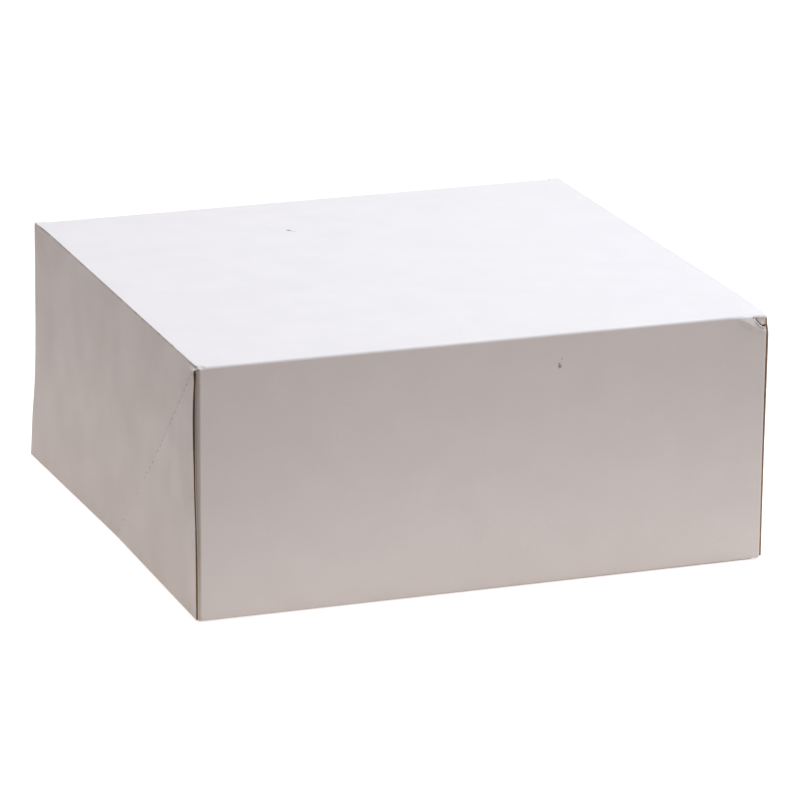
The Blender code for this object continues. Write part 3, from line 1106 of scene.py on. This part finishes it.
def half_along(sheet, start, end, towards):
    """Keeps the half of a sheet on one side of a crease, and nicks its edge at even steps from the start."""
    along, inward = crease_axes(start, end, towards)
    cut(sheet, start, -inward)
    for depth in LIP_LINES:
        cut(sheet, Vector(start) + inward * depth, inward, clear=False)
    nick_edge(sheet, Vector(start), along, inward)
    return sheet


def nick_edge(sheet, start, along, inward):
    """Takes short slots out of the edge that lies along a crease."""
    cut(sheet, start + inward * NICK_DEPTH, inward, clear=False)

    def placed(face):
        away = face.calc_center_median().to_2d() - start
        return away.dot(along), away.dot(inward)

    def reach(face):
        return [(vert.co.to_2d() - start).dot(along) for vert in face.verts]

    places = [placed(face)[0] for face in sheet.faces if placed(face)[1] < NICK_DEPTH]
    chance = random.Random(NICK_SEED)
    nicks = []
    for n in range(int(max(places) / NICK_PITCH)):
        middle, half = (n + 1) * NICK_PITCH, chance.uniform(*NICK_LENGTHS) / 2
        nicks.append((middle - half, middle + half))
    for nick in nicks:
        for end in nick:
            strip = [
                face for face in sheet.faces
                if placed(face)[1] < LIP_LINES[-1] and min(reach(face)) < end < max(reach(face))
            ]
            cut(sheet, start + along * end, along, strip, clear=False)
    gone = [
        face for face in sheet.faces
        if placed(face)[1] < NICK_DEPTH and any(low < placed(face)[0] < high for low, high in nicks)
    ]
    bmesh.ops.delete(sheet, geom=gone, context="FACES")
    print(len(nicks), "nicks,", len(gone), "bits of board taken out")


# %% The lid's sides and gussets
SIDE_ROWS = 70
RAW_EDGE = -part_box("lid_left_gusset")[0].y
CREASE_START = (-LID_Y, TOP)
CREASE_END = (-CREASE_FOOT_Y, HEM)
GUSSET_SIDE = (-LID_Y, HEM)
PANEL_SIDE = (0, TOP)


def mirrored(sheet):
    """Turns a sheet over, for the other side of the box."""
    bmesh.ops.scale(sheet, vec=(-1, 1, 1), verts=sheet.verts)
    return sheet


SIDES = (("left", -1), ("right", 1))
for facing, side in SIDES:
    for part, towards in (("panel", PANEL_SIDE), ("gusset", GUSSET_SIDE)):
        sheet = blank((-HINGE_Y, HEM), (-LID_Y, BROW), ROWS, SIDE_ROWS)
        trim(sheet, ((1, 0), RAW_EDGE))
        half_along(sheet, CREASE_START, CREASE_END, towards)
        if side > 0:
            mirrored(sheet)
        stand(sheet, facing, (side * LID_X, 0, 0), lean_side)
        as_board(f"lid_{facing}_{part}_board", sheet, "lid", f"lid_{facing}_{part}")

# %% [markdown]
# ## Glue flaps and glue
#
# Behind each gusset lies a flap of the front, tapered so that it stays clear of the crease, with rounded
# corners that don't catch when the box is set up. A film of glue lies between the two.

# %% Flaps with rounded corners
FLAP_ROUND = 3 * MM
ROUND_STEPS = 5
FLAP_GRID = (16, 24)


def rounded_cut(sheet, centre, first, last):
    """Rounds a corner of a sheet with a fan of straight cuts about a centre."""
    for step in range(1, ROUND_STEPS):
        angle = mix(first, last, step / ROUND_STEPS)
        outward = Vector((math.cos(angle), math.sin(angle)))
        cut(sheet, Vector(centre) + outward * FLAP_ROUND, outward)


def flap_sheet(root, reach, low, high, crease_start, crease_end, margin, rise, inset=0.0):
    """A flap seen from outside, between its root and its reach, clear of a crease that climbs by rise."""
    along, inward = crease_axes(crease_start, crease_end, (root, (low + high) / 2))
    free = reach + inset
    sheet = blank((free, low + inset), (root - inset, high - inset), *FLAP_GRID)
    edge = Vector(crease_start) + inward * (margin + inset)
    cut(sheet, edge, -inward)
    far = (free - edge.x) / along.x * along.y + edge.y
    slanted = math.atan2(-inward.y, -inward.x)
    square = math.pi if slanted > 0 else -math.pi
    bisector = (slanted + square) / 2
    depth = FLAP_ROUND / math.cos((slanted - square) / 2)
    tip = Vector((free, far)) - Vector((math.cos(bisector), math.sin(bisector))) * depth
    rounded_cut(sheet, tip, slanted, square)
    blunt = low + inset if rise < 0 else high - inset
    corner = Vector((free + FLAP_ROUND, blunt - rise * FLAP_ROUND))
    rounded_cut(sheet, corner, rise * QUARTER, rise * math.pi)
    return sheet


# %% The lid's flaps and glue
FLAP_MARGIN = 4 * MM
GLUE_INSET = 5 * MM
FLAP_ROOT = -LID_Y - FOLD
LID_FLAP = (FLAP_ROOT, -flap_high.y, HEM, flap_high.z, CREASE_START, CREASE_END, FLAP_MARGIN, -1)


def lid_flap(facing, side, x, lean, inset=0.0):
    """A lid flap or its film, standing in its plane."""
    sheet = flap_sheet(*LID_FLAP, inset)
    return stand(mirrored(sheet) if side > 0 else sheet, facing, (side * x, 0, 0), lean)


for facing, side in SIDES:
    name = f"lid_{facing}"
    as_board(f"{name}_flap_board", lid_flap(facing, side, LID_FOLD_X, lean_flap), "lid", f"{name}_flap")
    film = lid_flap(facing, side, -glue_low.x + FILM_PRESS, lean_side, GLUE_INSET)
    as_board(f"{name}_glue_film", film, "lid", f"{name}_glue", GLUE_FILM, (dried_glue,))

# %% [markdown]
# ## The tray
#
# The tray is the same work the other way up: a floor with four borders folded up, a front and a back wall
# whose ends fold in to flaps, and two sides with a crease and a gusset at each end. The lid boxes it in, so
# it stays truer than the lid does.

# %% Tray floor
TRAY_MIDDLE_Y = (TRAY_FRONT_Y + TRAY_BACK_Y) / 2
TRAY_HALF_Y = (TRAY_BACK_Y - TRAY_FRONT_Y) / 2

floor_board = blank((-TRAY_X, -TRAY_HALF_Y), (TRAY_X, TRAY_HALF_Y), COLUMNS // 2, ROWS // 2)
trim(floor_board, *((end, TRAY_X - FOLD) for end in ENDS))
trim(floor_board, ((0, -1), TRAY_HALF_Y - FOLD), ((0, 1), TRAY_HALF_Y - FOLD))
fold_over(floor_board, *ENDS, (0, -1), (0, 1))
stand(floor_board, "down", (0, TRAY_MIDDLE_Y, 0), lean_tray)
as_board("tray_floor_board", floor_board, "tray", "base_panel")

# %% Tray front and back walls
for facing, y, high in (("front", TRAY_FRONT_Y, RIM), ("back", TRAY_BACK_Y, BROW)):
    sheet = blank((-TRAY_X, FOLD), (TRAY_X, high), COLUMNS // 2, SIDE_ROWS // 2)
    trim(sheet, *((end, TRAY_FOLD_X - FOLD) for end in ENDS))
    fold_over(sheet, *ENDS)
    stand(sheet, facing, (0, y, 0), lean_tray)
    as_board(f"tray_{facing}_board", sheet, "tray", f"tray_{facing}_wall")

# %% How the tray's flaps, gussets and glue are pressed together
TRAY_RAW_EDGE = TRAY_MIDDLE_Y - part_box("tray_front_left_gusset")[0].y


def from_end(p):
    """How far a place of a tray side lies from the nearer end wall."""
    return TRAY_HALF_Y - abs(p.y - TRAY_MIDDLE_Y)


def lean_tray_flap(p):
    """A tray flap, pressed out against its film of glue."""
    pressed = FILM_PRESS * ramp(from_end(p), FOLD, FOLD + FLAP_SETTLE)
    return lean_tray(p + Vector((side_of(p.x) * pressed, 0, 0)))


def lean_tray_gusset(p):
    """A tray gusset, pressed in against the film from its crease on."""
    pressed = FILM_PRESS * ramp((p.z - from_end(p)) / math.sqrt(2), 0, FLAP_SETTLE)
    return lean_tray(p - Vector((side_of(p.x) * pressed, 0, 0)))


# %% Tray sides, each with two creases, and the four corners with their gussets and flaps
TRAY_CREASE = ((TRAY_HALF_Y, 0), (TRAY_HALF_Y - RIM, RIM))
TRAY_GUSSET_SIDE = (TRAY_HALF_Y, RIM)
TRAY_ENDS = ("front", "back")
TRAY_FLAP_REACH = TRAY_HALF_Y - FLAP_ROOT - flap_high.y
TRAY_FLAP = (TRAY_HALF_Y - FOLD, TRAY_FLAP_REACH, FOLD, RIM, *TRAY_CREASE, FLAP_MARGIN, 1)


def tray_side_blank(low=-TRAY_RAW_EDGE):
    """A tray side about its middle, as seen from the left: X runs to the front."""
    sheet = blank((-TRAY_HALF_Y, FOLD), (TRAY_HALF_Y, RIM), ROWS // 2, SIDE_ROWS // 2)
    trim(sheet, ((1, 0), TRAY_RAW_EDGE), ((-1, 0), -low))
    return sheet


for facing, side in SIDES:
    place = (side * TRAY_X, TRAY_MIDDLE_Y, 0)
    sheet = tray_side_blank()
    for _ in TRAY_ENDS:
        mirrored(half_along(sheet, *TRAY_CREASE, (0, FOLD)))
    stand(sheet, facing, place, lean_tray)
    as_board(f"tray_{facing}_board", sheet, "tray", f"tray_{facing}_wall")
    for end in TRAY_ENDS:
        sheet = half_along(tray_side_blank(0), *TRAY_CREASE, TRAY_GUSSET_SIDE)
        flap = flap_sheet(*TRAY_FLAP)
        if (end == "front") == (side > 0):
            mirrored(sheet)
            mirrored(flap)
        name = f"tray_{end}_{facing}"
        stand(sheet, facing, place, lean_tray_gusset)
        as_board(f"{name}_gusset_board", sheet, "tray", f"{name}_gusset")
        stand(flap, facing, (side * TRAY_FOLD_X, TRAY_MIDDLE_Y, 0), lean_tray_flap)
        as_board(f"{name}_flap_board", flap, "tray", f"{name}_flap")
        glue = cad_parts[f"{name}_glue"]
        glue.data.materials.clear()
        glue.data.materials.append(dried_glue)

# %% [markdown]
# ## The hinge crease
#
# The lid isn't hung on anything: the sheet runs over the back wall's top and becomes the lid. So the hinge
# is a strip of the same board, a quarter round when the lid is shut. It is drawn in that shape only, and
# rides with neither the tray nor the lid.

# %% Hinge strip
STRIP_ROWS = 4

strip = blank((-LID_X, LID_Y), (LID_X, HINGE_Y - FOLD), COLUMNS, STRIP_ROWS)
trim(strip, *((end, STRIP_X) for end in ENDS))
flat_faces = list(strip.faces)
fold_over(strip, (0, 1))
bmesh.ops.delete(strip, geom=flat_faces, context="FACES")
stand(strip, "up", (0, 0, TOP), lean_tray)
hinge = as_board("lid_hinge_crease", strip, None, None)
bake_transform(hinge)

# %% The sizes at load and at the end, for the size rule
dressed_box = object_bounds()
print(len(made), "pieces of board and glue")
for name, box in (("cad", cad_box), ("visual", dressed_box)):
    print(name, [[round(value / MM, 2) for value in corner] for corner in box])
